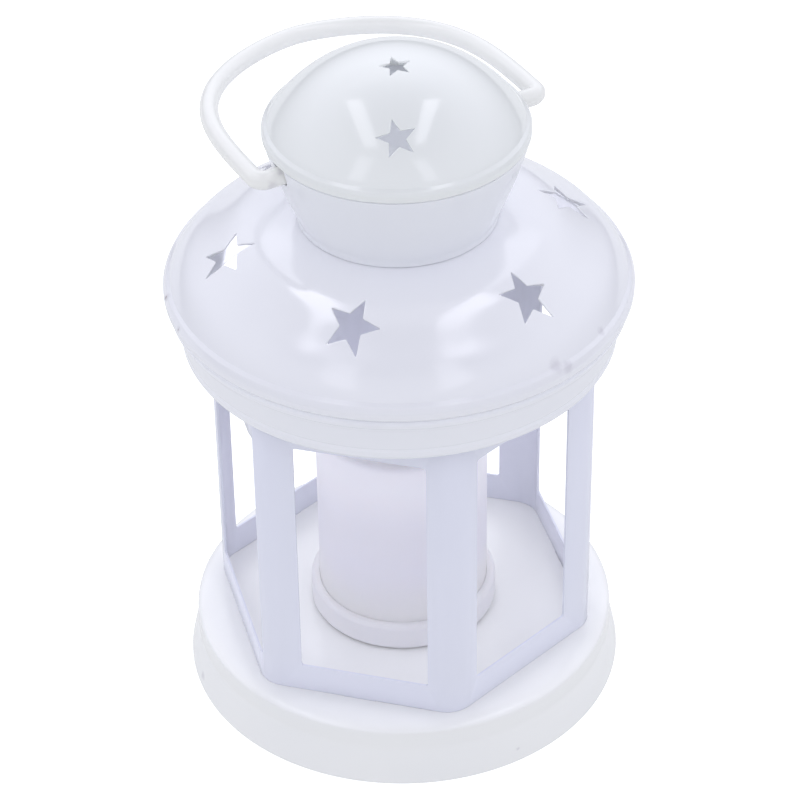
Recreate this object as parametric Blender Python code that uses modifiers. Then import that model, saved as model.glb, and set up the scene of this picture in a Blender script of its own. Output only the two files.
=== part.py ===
# LED lantern: a small white painted lantern with a stamped base pan, a folded hexagonal frame with open
# windows, a domed roof with punched stars, a chimney cup with a domed cap, a wire bail, and a battery candle
# standing inside. Metres, +Z up, origin at the middle of the underside.
import math
import bpy
import bmesh
from mathutils import Matrix, Vector

MM = 0.001
GAP = 0.3                     # space kept between touching pieces
SHEET = 0.8                   # sheet thickness

# ---- driving dimensions (millimetres, degrees) ----
BASE_R = 43.1                 # foot of the base pan
BASE_TOP_Z = 12.65            # floor of the lantern, top of the base pan
ACCESS_R = 14.8               # finger hole under the candle
FRAME_R = 38.6                # hexagon, across its sides produced to a corner / 2
FRAME_Z0 = BASE_TOP_Z + GAP
FRAME_Z1 = 79.0
FOLD_R = 5.95                 # outside radius of the folds
# each side's window, from the middle of the side: the folds fall unevenly between the punched windows
WINDOWS = ((-11.7, 13.6), (-13.8, 11.3), (-15.8, 15.9), (-12.0, 12.5), (-12.5, 15.2), (-15.0, 17.8))
WINDOW_Z0 = 18.8
WINDOW_Z1 = 71.7
WINDOW_CORNER = 0.6
LUG_IN = 30.2                 # how far in the skirt's lugs reach, and where they start in its wall
LUG_OUT = 40.35
ROOF_STAR_R = 5.18            # circumradius of the roof stars, seen from above
ROOF_STAR_AT = 32.3           # radius at which they sit
ROOF_STAR_TURN = -4.6
CAP_STAR_R = 3.8
CAP_STAR_AT = 17.3
CAP_STAR_PHI = 15.2
TOP_STAR_R = 3.05
CAP_RIM_R = 24.5
PIVOT_Z = 119.5               # height of the bail's axis
BAIL_PHI = -45.8              # direction of the bail's axis in plan
BAIL_A = 29.27                # half the bail's width
BAIL_H = 41.11                # reach of the bail from its axis
BAIL_SHIFT = -1.07            # side play taken up along the axis
BAIL_TILT = 0.9               # how far the bail lies above level
ROD_R = 1.75
NOTCH_R = 2.05
CANDLE_R = 16.7
CANDLE_TOP_Z = 56.0
FLANGE_R = 18.4
CANDLE_Z0 = BASE_TOP_Z + GAP
DOOR_R = 11.0
CELL_R = 10.0
SWITCH_Y = -13.3
SWITCH_TRAVEL = 2.2

SEG = 40                      # sides of the turned sheet pieces
SEG_SMALL = 28                # sides of the small turned pieces

for o in list(bpy.data.objects):
    bpy.data.objects.remove(o, do_unlink=True)

scene = bpy.context.scene
parts = bpy.data.collections.new("led_lantern")
scene.collection.children.link(parts)
cutters = bpy.data.collections.new("cutters")
scene.collection.children.link(cutters)


# ---- helpers ----
def material(name, rgb, rough, metal=0.0, transmission=0.0):
    m = bpy.data.materials.new(name)
    m.use_nodes = True
    b = m.node_tree.nodes["Principled BSDF"]
    b.inputs["Base Color"].default_value = (*rgb, 1.0)
    b.inputs["Roughness"].default_value = rough
    b.inputs["Metallic"].default_value = metal
    b.inputs["Transmission Weight"].default_value = transmission
    return m


def polar(r, phi):
    """Plan position at radius r; phi is counted from -Y towards +X."""
    a = math.radians(phi)
    return r * math.sin(a), -r * math.cos(a)


def link(ob, mat=None, coll=None):
    (coll or parts).objects.link(ob)
    if mat is not None:
        ob.data.materials.append(mat)
    return ob


def turned(name, profile, mat, segs=SEG, closed=True):
    """A closed section (or one that starts and ends on the axis) turned about Z. It runs down its outer side."""
    n = len(profile)
    edges = [(i, i + 1) for i in range(n - 1)] + ([(n - 1, 0)] if closed else [])
    me = bpy.data.meshes.new(name)
    me.from_pydata([(r * MM, 0, z * MM) for r, z in profile], edges, [])
    ob = link(bpy.data.objects.new(name, me), mat)
    s = ob.modifiers.new("turn", "SCREW")
    s.angle = 2 * math.pi
    s.steps = s.render_steps = segs
    s.axis = "Z"
    s.use_merge_vertices = True
    s.merge_threshold = 0.00001
    s.use_smooth_shade = True
    return ob


def outline(name, loops, half, mat=None, coll=None):
    """Flat outline of one or more closed loops, extruded by half each way along its local Z, as a mesh."""
    cu = bpy.data.curves.new(name, "CURVE")
    cu.dimensions = "2D"
    cu.fill_mode = "BOTH"
    cu.extrude = half * MM
    for pts in loops:
        sp = cu.splines.new("POLY")
        sp.points.add(len(pts) - 1)
        for p, (x, y) in zip(sp.points, pts):
            p.co = (x * MM, y * MM, 0, 1)
        sp.use_cyclic_u = True
    tmp = bpy.data.objects.new(name + "_curve", cu)
    scene.collection.objects.link(tmp)
    dg = bpy.context.evaluated_depsgraph_get()
    me = bpy.data.meshes.new_from_object(tmp.evaluated_get(dg))
    bpy.data.objects.remove(tmp, do_unlink=True)
    bm = bmesh.new()
    bm.from_mesh(me)
    bmesh.ops.remove_doubles(bm, verts=bm.verts, dist=0.000002)
    bmesh.ops.recalc_face_normals(bm, faces=bm.faces)
    bm.to_mesh(me)
    bm.free()
    me.materials.clear()
    me.name = name
    return link(bpy.data.objects.new(name, me), mat, coll)


def as_cutter(ob):
    for c in list(ob.users_collection):
        c.objects.unlink(ob)
    cutters.objects.link(ob)
    ob.hide_render = True
    ob.display_type = "WIRE"
    return ob


def group(name, members, mat=None, coll=None):
    """Puts several placed meshes in one object."""
    bm = bmesh.new()
    for ob in members:
        me = ob.data.copy()
        me.transform(ob.matrix_basis)
        bm.from_mesh(me)
        bpy.data.meshes.remove(me)
        bpy.data.objects.remove(ob, do_unlink=True)
    me = bpy.data.meshes.new(name)
    bm.to_mesh(me)
    bm.free()
    return link(bpy.data.objects.new(name, me), mat, coll)


def boxes(name, specs, mat=None, coll=None):
    """Boxes turned about Z: centre x, y, z, size x, y, z, turn in degrees."""
    bm = bmesh.new()
    for x, y, z, sx, sy, sz, turn in specs:
        place = Matrix.Translation((x * MM, y * MM, z * MM)) @ Matrix.Rotation(math.radians(turn), 4, "Z")
        bmesh.ops.create_cube(bm, size=1.0, matrix=place @ Matrix.Diagonal((sx * MM, sy * MM, sz * MM, 1)))
    me = bpy.data.meshes.new(name)
    bm.to_mesh(me)
    bm.free()
    return link(bpy.data.objects.new(name, me), mat, coll)


def boolean(ob, other, op="DIFFERENCE"):
    b = ob.modifiers.new(op.lower(), "BOOLEAN")
    b.operation = op
    b.solver = "EXACT"
    b.object = as_cutter(other)
    return b


def tube(name, points, radius, mat, resolution=2, radii=None):
    """Round rod along a polyline, with filled ends."""
    cu = bpy.data.curves.new(name, "CURVE")
    cu.dimensions = "3D"
    cu.bevel_depth = radius * MM
    cu.bevel_resolution = resolution
    cu.use_fill_caps = True
    sp = cu.splines.new("POLY")
    sp.points.add(len(points) - 1)
    for i, (p, c) in enumerate(zip(sp.points, points)):
        p.co = (c[0] * MM, c[1] * MM, c[2] * MM, 1)
        p.radius = 1.0 if radii is None else radii[i]
    return link(bpy.data.objects.new(name, cu), mat)


def rounded(corners, radius, steps=3):
    """Corner points of a convex polygon, each replaced by a small arc."""
    out = []
    n = len(corners)
    for i in range(n):
        p = Vector(corners[i])
        a = (Vector(corners[i - 1]) - p).normalized()
        b = (Vector(corners[(i + 1) % n]) - p).normalized()
        half = a.angle(b) / 2
        d = radius / math.tan(half)
        centre = p + (a + b).normalized() * (radius / math.sin(half))
        s, e = p + a * d - centre, p + b * d - centre
        for k in range(steps + 1):
            v = s.lerp(e, k / steps).normalized() * radius
            out.append(tuple(centre + v))
    return out


def star(radius, turn, inner=0.42):
    pts = []
    for k in range(10):
        a = math.radians(turn + 36 * k)
        r = radius if k % 2 == 0 else radius * inner
        pts.append((r * math.cos(a), r * math.sin(a)))
    return pts


def star_cutter(name, r, z, slope, phi, radius, turn, half=3.0):
    """A star prism at radius r and height z. Its x is along the rim and its y up the slope that it stands square to."""
    ob = outline(name, [star(radius, -turn)], half)
    a, s = math.radians(phi), math.radians(slope)
    t = Vector((math.cos(a), math.sin(a), 0))
    down = Vector((math.sin(a) * math.cos(s), -math.cos(a) * math.cos(s), -math.sin(s)))
    m = Matrix((t, -down, t.cross(-down))).transposed().to_4x4()
    m.translation = Vector((*polar(r, phi), z)) * MM
    ob.matrix_basis = m
    return ob


def smooth(ob, degrees=35):
    if ob.type == "MESH":
        ob.data.shade_smooth()
        ob.data.set_sharp_from_angle(angle=math.radians(degrees))


# ---- materials ----
white = material("white_paint", (0.86, 0.87, 0.93), 0.28)
candle_white = material("candle_plastic", (0.84, 0.83, 0.90), 0.45)
flame_mat = material("flame_plastic", (0.95, 0.86, 0.66), 0.35, transmission=0.4)
led_mat = material("led_lens", (0.97, 0.90, 0.70), 0.12, transmission=0.6)
board_mat = material("board_green", (0.06, 0.26, 0.12), 0.5)
black_mat = material("black_plastic", (0.03, 0.03, 0.035), 0.45)
steel_mat = material("bright_steel", (0.72, 0.72, 0.74), 0.25, metal=1.0)
spring_mat = material("spring_steel", (0.78, 0.76, 0.70), 0.3, metal=1.0)
red_mat = material("red_lead", (0.55, 0.03, 0.03), 0.5)
dark_lead = material("black_lead", (0.02, 0.02, 0.02), 0.5)

# ---- base pan: flat top, straight wall, flared foot with a hemmed edge ----
base_pan = turned("base_pan", [
    (ACCESS_R, BASE_TOP_Z), (40.5, BASE_TOP_Z), (41.1, 12.4), (41.4, 11.8), (41.45, 7.7),
    (41.75, 6.6), (42.3, 4.6), (42.85, 2.0), (BASE_R, 0.5), (42.8, 0.0), (41.7, 0.0),
    (41.75, 2.0), (41.2, 5.0), (40.6, 7.6), (40.55, 11.3), (40.0, BASE_TOP_Z - SHEET),
    (ACCESS_R, BASE_TOP_Z - SHEET)], white)
APOTHEM = FRAME_R * math.cos(math.radians(30))
TAB_AT = APOTHEM - SHEET / 2
slots = []
for phi in (0, 120, 240):
    x, y = polar(TAB_AT, phi)
    slots.append((x, y, BASE_TOP_Z - 0.4, 6.8, 1.5, 4.0, phi))
boolean(base_pan, boxes("base_tab_slots", slots))

# ---- hexagonal frame: one folded strip with six windows, three tabs down and three up ----
outer = rounded([polar(FRAME_R, 30 + 60 * k) for k in range(6)], FOLD_R, 7)
inner_r = (APOTHEM - SHEET) / math.cos(math.radians(30))
inner = rounded([polar(inner_r, 30 + 60 * k) for k in range(6)], FOLD_R - SHEET, 7)
hex_frame = outline("hex_frame", [outer, inner[::-1]], (FRAME_Z1 - FRAME_Z0) / 2, white)
hex_frame.data.transform(Matrix.Translation((0, 0, (FRAME_Z0 + FRAME_Z1) / 2 * MM)))
wz = (WINDOW_Z0 + WINDOW_Z1) / 2
hh = (WINDOW_Z1 - WINDOW_Z0) / 2
window_cutters = []
for k in range(6):
    phi = 60 * k
    u0, u1 = WINDOWS[k]
    w = outline(f"window_{k}", [rounded([(u0, -hh), (u1, -hh), (u1, hh), (u0, hh)], WINDOW_CORNER)], 2.2)
    a = math.radians(phi)
    t, up, n = Vector((math.cos(a), math.sin(a), 0)), Vector((0, 0, 1)), Vector((math.sin(a), -math.cos(a), 0))
    m = Matrix((t, up, n)).transposed().to_4x4()
    m.translation = Vector((*polar(APOTHEM + 0.4, phi), wz)) * MM
    w.matrix_basis = m
    window_cutters.append(w)
boolean(hex_frame, group("window_cutters", window_cutters))
tabs = []
for phi in (0, 120, 240):
    x, y = polar(TAB_AT, phi)
    tabs.append((x, y, FRAME_Z0 - 0.7, 6.0, SHEET - 0.02, 3.4, phi))
for phi in (60, 180, 300):
    x, y = polar(TAB_AT, phi)
    tabs.append((x, y, FRAME_Z1 + 0.4, 8.0, SHEET - 0.02, 3.4, phi))
boolean(hex_frame, boxes("frame_tabs", tabs), "UNION")

# ---- roof skirt: tapered band with a shoulder at its top, and three lugs that the frame's upper tabs pass through ----
roof_skirt = turned("roof_skirt", [
    (42.3, 88.0), (43.0, 88.0), (43.4, 87.5), (43.25, 86.6), (42.6, 86.1), (42.3, 85.2), (41.05, 79.5),
    (41.0, 78.6), (40.7, 78.0), (40.4, 77.8), (40.1, 77.95), (40.1, 79.0), (40.35, 80.5), (41.5, 85.5), (41.9, 86.9)], white)
lugs, slots = [], []
for phi in (60, 180, 300):
    x, y = polar((LUG_IN + LUG_OUT) / 2, phi)
    lugs.append((x, y, FRAME_Z1 + GAP + 0.4, 13.0, LUG_OUT - LUG_IN, 0.8, phi))
    x, y = polar(TAB_AT, phi)
    slots.append((x, y, FRAME_Z1 + GAP + 0.4, 8.8, 1.5, 4.0, phi))
boolean(roof_skirt, boxes("skirt_lugs", lugs), "UNION")
boolean(roof_skirt, boxes("skirt_lug_slots", slots))

# ---- roof shell: convex roof with a steeper edge, a rolled rim and six stars punched from above ----
roof_shell = turned("roof_shell", [
    (17.7, 104.1), (21.5, 103.85), (26.0, 103.15), (28.0, 102.7), (30.0, 101.9), (32.0, 100.65), (36.0, 98.0), (38.0, 96.75),
    (40.0, 95.35), (41.4, 93.7), (42.4, 92.3), (42.7, 91.8), (43.3, 91.35), (43.8, 90.6), (44.0, 89.6), (43.85, 88.8),
    (43.5, 88.35), (42.2, 88.35), (42.3, 89.6), (41.8, 91.3), (40.8, 92.9), (39.3, 94.6), (37.5, 96.0), (35.5, 97.3),
    (31.6, 99.8), (29.6, 101.05), (27.7, 101.85), (25.8, 102.4), (21.4, 103.05), (17.7, 103.3)], white)
roof_stars = [star_cutter(f"roof_star_{k}", ROOF_STAR_AT, 100.0, 0.0, 60 * k, ROOF_STAR_R, ROOF_STAR_TURN, 6.0) for k in range(6)]
boolean(roof_shell, group("roof_star_cutters", roof_stars))

# ---- chimney cup: widening cup whose flared neck clamps the roof; two notches in its edge carry the bail ----
cup_outer = []
for k in range(8):
    t = 1 - k / 7.0
    cup_outer.append((18.65 + 5.55 * (1 - (1 - t) ** 1.2), 105.2 + 16.1 * t))
cup_inner = [(r - SHEET, z + 0.1) for r, z in cup_outer[:-1]][::-1]
cup_inner[-1] = (cup_outer[0][0] - SHEET, cup_outer[0][1])
chimney_cup = turned("chimney_cup", cup_outer + [
    (18.4, 104.6), (17.9, 104.4), (17.4, 104.4), (17.35, 102.95), (19.3, 102.6), (19.3, 101.9), (16.55, 102.1), (16.55, 104.3),
    (17.85, 105.4)] + cup_inner[:], white)
notch = []
for k in range(9):
    a = math.radians(180 + 180 * k / 8)
    notch.append((NOTCH_R * math.cos(a), NOTCH_R * math.sin(a)))
notch += [(NOTCH_R, 4.0), (-NOTCH_R, 4.0)]
notch_cutter = outline("bail_notch_cutter", [notch], 30.0)
ax = Vector((*polar(1.0, BAIL_PHI), 0.0)).normalized()          # along the bail's axis
side = Vector((0, 0, 1)).cross(ax)                               # level, square to the axis
m = Matrix((side, Vector((0, 0, 1)), side.cross(Vector((0, 0, 1))))).transposed().to_4x4()
m.translation = Vector((0, 0, PIVOT_Z * MM))
notch_cutter.matrix_basis = m
boolean(chimney_cup, notch_cutter)


# ---- cap dome: dome with a folded rim over the cup's edge, one star on top and one at front and back ----
def dome_z(r):
    return 122.3 + 14.0 * (1 - (r / CAP_RIM_R) ** 2.3) ** 0.893


dome_r = [0.0, 3.5, 7.0, 10.5, 14.0, 17.0, 19.5, 21.5, 22.8]
dome_outer = [(r, dome_z(r)) for r in dome_r]
dome_inner = [(max(r - 0.55 * (r / 23.2) ** 1.5, 0.0), dome_z(r) - 0.8 + 0.18 * (r / 23.2) ** 2) for r in dome_r[::-1]]
cap_dome = turned("cap_dome", dome_outer + [
    (23.4, 124.0), (24.0, 123.4), (24.4, 123.0), (CAP_RIM_R, 122.4), (24.35, 121.85), (24.0, 121.6), (22.5, 121.6),
    (22.4, 123.6)] + dome_inner[:], white, closed=False)
cap_stars = [star_cutter("cap_star_front", CAP_STAR_AT, dome_z(CAP_STAR_AT), 38.5, CAP_STAR_PHI, CAP_STAR_R, 40.8),
             star_cutter("cap_star_back", CAP_STAR_AT, dome_z(CAP_STAR_AT), 38.5, CAP_STAR_PHI + 180, CAP_STAR_R, 40.8)]
top_star = outline("cap_star_top", [star(TOP_STAR_R, 48.7)], 3.0)
tx, ty = polar(2.3, CAP_STAR_PHI)
top_star.matrix_basis = Matrix.Translation((tx * MM, ty * MM, dome_z(0.0) * MM))
cap_stars.append(top_star)
boolean(cap_dome, group("cap_star_cutters", cap_stars))

# ---- bail: steel rod bent to a hoop, its pegs turning in the cup's notches, with upset heads inside ----
bail_axis = bpy.data.objects.new("bail_axis", None)
scene.collection.objects.link(bail_axis)
reach = side if side.dot(Vector((*polar(1.0, CAP_STAR_PHI), 0.0))) < 0 else -side   # towards the back
tilt = math.radians(BAIL_TILT)
rise = reach * math.cos(tilt) + Vector((0, 0, 1)) * math.sin(tilt)
m = Matrix((ax, rise, ax.cross(rise))).transposed().to_4x4()
m.translation = Vector((0, 0, PIVOT_Z * MM))
bail_axis.matrix_basis = m
BEND = 1.9
half_path = [(19.6, 0.0), (20.65, 0.0), (20.7, 0.0), (24.6, 0.0), (BAIL_A - BEND, 0.0)]
half_radii = [1.3, 1.3, 1.0, 1.0, 1.0]
for k in (1, 2, 3):
    a = math.radians(90 * k / 4)
    half_path.append((BAIL_A - BEND + BEND * math.sin(a), BEND - BEND * math.cos(a)))
    half_radii.append(1.0)
N_ARCH = 22
for k in range(N_ARCH + 1):
    # steps that shorten towards the leg, where the hoop bends most
    th = math.pi / 2 * (0.02 + 0.98 * (k / N_ARCH) ** 1.6)
    px = BAIL_A * abs(math.cos(th)) ** (2 / 1.64)
    py = BAIL_H * abs(math.sin(th)) ** (2 / 3.77)
    if py > BEND + 0.6:
        half_path.append((px, py))
        half_radii.append(1.0)
path = [(x + BAIL_SHIFT, y, 0.0) for x, y in half_path] + [(-x + BAIL_SHIFT, y, 0.0) for x, y in half_path[-2::-1]]
radii = half_radii + half_radii[-2::-1]
bail_handle = tube("bail_handle", path, ROD_R, white, resolution=2, radii=radii)
bail_handle.parent = bail_axis

# ---- candle: a white shell with a dished top standing in its battery cup ----
candle_shell = turned("candle_shell", [
    (4.7, 53.9), (9.0, 54.1), (13.2, 55.1), (15.3, CANDLE_TOP_Z), (16.2, 55.9), (CANDLE_R, 55.2), (CANDLE_R, 14.5),
    (15.5, 14.5), (15.5, 22.35), (14.5, 22.4), (14.5, 23.2), (15.5, 23.8), (15.5, 54.3), (13.2, 53.8), (9.0, 52.9), (4.7, 52.9)],
    candle_white, SEG_SMALL)

candle_housing = turned("candle_housing", [
    (17.05, 18.5), (18.1, 18.5), (FLANGE_R, 18.2), (FLANGE_R, 13.4), (18.1, CANDLE_Z0), (11.4, CANDLE_Z0),
    (11.4, CANDLE_Z0 + 1.2), (17.05, CANDLE_Z0 + 1.2)], candle_white, SEG_SMALL)
DOOR_LOCK = 35.0                                                    # turn of the battery door from locked to free
cuts = [(0.0, SWITCH_Y, CANDLE_Z0 + 0.6, 2.2 + SWITCH_TRAVEL + 0.8, 2.0, 3.0, 0)]
for base_phi in (90, 270):
    x, y = polar(11.8, base_phi + DOOR_LOCK)
    cuts.append((x, y, CANDLE_Z0 + 0.6, 4.4, 2.8, 3.0, base_phi + DOOR_LOCK))
boolean(candle_housing, boxes("housing_cuts", cuts))

DOOR_Z0 = CANDLE_Z0 + 0.1
battery_door = turned("battery_door", [
    (0.0, 15.15), (10.9, 15.15), (DOOR_R, 14.9), (DOOR_R, 13.3), (10.8, DOOR_Z0), (0.0, DOOR_Z0)],
    candle_white, SEG_SMALL, closed=False)
lugs = []
for phi in (90, 270):
    x, y = polar(11.6, phi)
    lugs.append((x, y, 14.8, 3.6, 2.2, 0.66, phi))
boolean(battery_door, boxes("door_lugs", lugs), "UNION")
boolean(battery_door, boxes("coin_slot", [(0, 0, DOOR_Z0, 12.0, 1.7, 1.5, 0)]))

# ---- inside the candle ----
battery = turned("battery", [
    (0.0, 18.65), (8.5, 18.65), (8.55, 18.4), (9.6, 18.4), (CELL_R, 18.1), (CELL_R, 15.7), (9.7, 15.45), (0.0, 15.45)],
    steel_mat, SEG_SMALL, closed=False)
battery_holder = turned("battery_holder", [
    (10.35, 20.7), (11.4, 20.7), (11.4, 15.45), (10.35, 15.45)], black_mat, SEG_SMALL)
boolean(battery_holder, boxes("holder_gap", [(0, 11.0, 18.0, 5.2, 4.0, 8.0, 0)]))
circuit_board = turned("circuit_board", [(0.0, 22.0), (15.1, 22.0), (15.1, 21.0), (0.0, 21.0)], board_mat, SEG_SMALL, closed=False)

leaf = [(-6.0, 0.0), (-5.0, 0.0), (-2.0, -1.35), (2.0, -1.35), (5.0, 0.0), (6.0, 0.0), (6.0, -0.3), (5.1, -0.3), (2.1, -1.65), (-2.1, -1.65), (-5.1, -0.3), (-6.0, -0.3)]
contact_negative = outline("contact_negative", [leaf], 1.5, spring_mat)
contact_negative.matrix_basis = Matrix.Translation((0, 0, 20.65 * MM)) @ Matrix.Rotation(math.pi / 2, 4, "X")
strip = [(10.3, 15.8), (10.6, 15.8), (10.6, 20.35), (13.2, 20.35), (13.2, 20.65), (10.3, 20.65)]
contact_positive = outline("contact_positive", [strip], 2.0, spring_mat)
contact_positive.matrix_basis = Matrix(((0, 0, 1, 0), (1, 0, 0, 0), (0, 1, 0, 0), (0, 0, 0, 1)))

switch_body = boxes("switch_body", [(0, SWITCH_Y, 16.2, 6.8, 2.8, 3.5, 0)], black_mat)
boolean(switch_body, boxes("switch_slot", [(0, SWITCH_Y, 14.6, 2.2 + SWITCH_TRAVEL + 0.6, 1.9, 2.4, 0)]))
switch_slider = boxes("switch_slider", [(0, 0, 0, 2.2, 1.3, 3.4, 0)], black_mat)
bev = switch_slider.modifiers.new("edges", "BEVEL")
bev.width = 0.0002
bev.segments = 1
switch_slider.location = (-SWITCH_TRAVEL / 2 * MM, SWITCH_Y * MM, 13.7 * MM)

led = turned("led", [
    (0.0, 58.0), (1.0, 57.8), (1.9, 57.1), (2.4, 56.2), (2.5, 55.4), (2.5, 51.0), (2.9, 51.0), (2.9, 50.0), (0.0, 50.0)],
    led_mat, 20, closed=False)
flame_tip = turned("flame_tip", [
    (0.0, 68.0), (0.5, 67.4), (1.2, 65.8), (2.3, 62.8), (3.5, 59.6), (4.2, 56.9), (4.3, 54.8), (4.3, 52.6), (6.0, 52.6), (6.0, 51.6),
    (3.3, 51.6), (3.25, 56.5), (2.4, 58.6), (0.9, 59.6), (0.0, 59.7)], flame_mat, 20, closed=False)


def lead(name, sx, mat):
    """One insulated lead from the board up to the LED, on a smooth curve through its knots."""
    knots = [Vector((sx * 6.0, 2.0, 22.35)), Vector((sx * 6.4, 1.6, 28.0)), Vector((sx * 3.6, -0.6, 38.0)), Vector((sx * 1.3, 0.0, 45.5)), Vector((sx * 1.27, 0.0, 49.65))]
    pts = []
    for i in range(4):
        p0, p1, p2, p3 = knots[max(i - 1, 0)], knots[i], knots[i + 1], knots[min(i + 2, 4)]
        for k in range(4):
            t = k / 4
            pts.append(0.5 * ((2 * p1) + (p2 - p0) * t + (2 * p0 - 5 * p1 + 4 * p2 - p3) * t * t + (3 * p1 - p0 - 3 * p2 + p3) * t ** 3))
    pts.append(knots[-1])
    return tube(name, [tuple(p) for p in pts], 0.5, mat, resolution=1)


lead("lead_positive", 1, red_mat)
lead("lead_negative", -1, dark_lead)

for ob in parts.objects:
    smooth(ob)
bpy.context.view_layer.update()
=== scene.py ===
import math

import bmesh
import bpy
import numpy as np
from mathutils import Matrix, Vector
from mathutils.geometry import delaunay_2d_cdt


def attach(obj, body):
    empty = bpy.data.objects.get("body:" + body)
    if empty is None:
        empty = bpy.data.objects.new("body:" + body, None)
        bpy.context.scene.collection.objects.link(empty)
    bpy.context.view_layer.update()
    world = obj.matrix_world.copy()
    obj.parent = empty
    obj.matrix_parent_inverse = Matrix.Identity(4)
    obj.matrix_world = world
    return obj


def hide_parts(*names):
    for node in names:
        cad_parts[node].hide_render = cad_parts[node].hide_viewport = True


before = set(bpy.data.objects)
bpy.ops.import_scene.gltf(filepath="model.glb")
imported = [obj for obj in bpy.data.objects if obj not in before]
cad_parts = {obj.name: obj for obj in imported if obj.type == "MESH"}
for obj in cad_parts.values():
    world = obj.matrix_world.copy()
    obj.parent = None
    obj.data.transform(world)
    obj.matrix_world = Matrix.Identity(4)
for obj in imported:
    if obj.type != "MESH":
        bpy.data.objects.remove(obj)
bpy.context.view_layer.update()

MM = 0.001
scene = bpy.context.scene

SEG = 240                       # sides of the turned pieces
FLOOR = 0.55                    # light that the pale floor gives back to the object
AROUND = ((0.25, 0.80), (0.5, 1.47), (0.75, 1.14))   # soft light from all sides: (height, level)
BEHIND = ((0.25, 0.19), (0.5, 0.41), (0.75, 0.52))   # and what comes from behind the object besides
CAM_AZ = 15.2                   # the camera's place round the lantern, degrees


def polar(r, phi):
    a = math.radians(phi)
    return r * math.sin(a), -r * math.cos(a)


# ---------------------------------------------------------------- sections
def spline(pts, per=6):
    """Points on a centripetal curve through pts, ends included."""
    P = [np.array(p, float) for p in pts]
    P = [2 * P[0] - P[1]] + P + [2 * P[-1] - P[-2]]
    out = []
    for i in range(1, len(P) - 2):
        p0, p1, p2, p3 = P[i - 1], P[i], P[i + 1], P[i + 2]
        t0 = 0.0
        t1 = t0 + np.linalg.norm(p1 - p0) ** 0.5
        t2 = t1 + np.linalg.norm(p2 - p1) ** 0.5
        t3 = t2 + np.linalg.norm(p3 - p2) ** 0.5
        for k in range(per):
            t = t1 + (t2 - t1) * k / per
            a1 = (t1 - t) / (t1 - t0) * p0 + (t - t0) / (t1 - t0) * p1
            a2 = (t2 - t) / (t2 - t1) * p1 + (t - t1) / (t2 - t1) * p2
            a3 = (t3 - t) / (t3 - t2) * p2 + (t - t2) / (t3 - t2) * p3
            b1 = (t2 - t) / (t2 - t0) * a1 + (t - t0) / (t2 - t0) * a2
            b2 = (t3 - t) / (t3 - t1) * a2 + (t - t1) / (t3 - t1) * a3
            out.append(tuple((t2 - t) / (t2 - t1) * b1 + (t - t1) / (t2 - t1) * b2))
    out.append(tuple(P[-2]))
    return out


def filleted(pts, closed=False, steps=5):
    """A run of points (x, y) or (x, y, radius): each point with a radius becomes an arc."""
    n = len(pts)
    out = []
    for i, q in enumerate(pts):
        rad = q[2] if len(q) > 2 else 0.0
        if rad <= 0 or (not closed and i in (0, n - 1)):
            out.append((q[0], q[1]))
            continue
        p = np.array(q[:2], float)
        a = np.array(pts[i - 1][:2], float) - p
        b = np.array(pts[(i + 1) % n][:2], float) - p
        la, lb = np.linalg.norm(a), np.linalg.norm(b)
        a, b = a / la, b / lb
        half = math.acos(max(-1, min(1, float(a @ b)))) / 2
        d = rad / math.tan(half)
        if d > 0.48 * min(la, lb):
            d = 0.48 * min(la, lb)
            rad = d * math.tan(half)
        m = a + b
        c = p + m / np.linalg.norm(m) * (rad / math.sin(half))
        s, e = p + a * d - c, p + b * d - c
        ang = math.atan2(s[0] * e[1] - s[1] * e[0], float(s @ e))
        for k in range(steps + 1):
            t = ang * k / steps
            out.append(tuple(c + np.array([s[0] * math.cos(t) - s[1] * math.sin(t), s[0] * math.sin(t) + s[1] * math.cos(t)])))
    return out


def eased(pts, sigma):
    """Height over radius through pts, its corners eased over sigma; straight beyond both ends."""
    a = np.array(pts, float)
    r = np.linspace(a[0, 0] - 6, a[-1, 0] + 6, 6001)
    z = np.interp(r, a[:, 0], a[:, 1])
    s0 = (a[1, 1] - a[0, 1]) / (a[1, 0] - a[0, 0])
    s1 = (a[-1, 1] - a[-2, 1]) / (a[-1, 0] - a[-2, 0])
    z = np.where(r < a[0, 0], a[0, 1] + s0 * (r - a[0, 0]), z)
    z = np.where(r > a[-1, 0], a[-1, 1] + s1 * (r - a[-1, 0]), z)
    h = r[1] - r[0]
    m = int(4 * sigma / h)
    k = np.exp(-0.5 * (np.arange(-m, m + 1) * h / sigma) ** 2)
    k /= k.sum()
    z = np.convolve(np.pad(z, m, mode="edge"), k, "valid")
    return lambda q: np.interp(q, r, z)


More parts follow.
